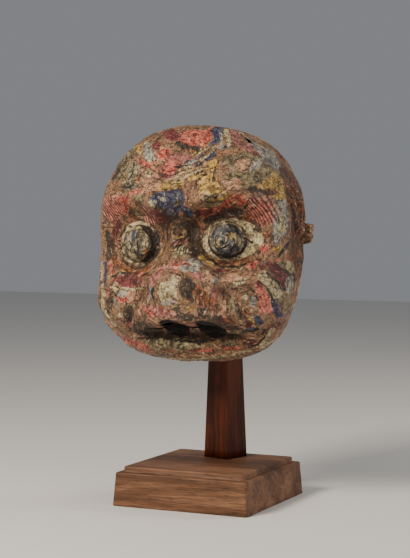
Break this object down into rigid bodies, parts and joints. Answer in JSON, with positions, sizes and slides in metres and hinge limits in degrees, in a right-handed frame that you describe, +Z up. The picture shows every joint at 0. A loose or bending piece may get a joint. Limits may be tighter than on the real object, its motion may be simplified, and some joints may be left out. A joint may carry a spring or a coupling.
{
  "type": "lion mask on stand",
  "caption": "Hollow papier-mache lion face mask with bulging eyes and a broad nose, resting on a tapering wooden column with a stepped square plinth.",
  "frame": {"origin": "middle of the plinth's underside", "axes": "+Z up the column, the mask's face looks along -Y, +X is the mask's own left"},
  "size_m": [0.2611, 0.2159, 0.454],
  "materials": {
    "painted_paper": "worn satin paint over papier-mache",
    "column_wood": "satin, stained dark red-brown",
    "plinth_wood": "satin, stained mid brown"
  },
  "bodies": {
    "root": {"lion_mask": "painted_paper", "column": "column_wood", "plinth": "plinth_wood"}
  },
  "joints": []
}
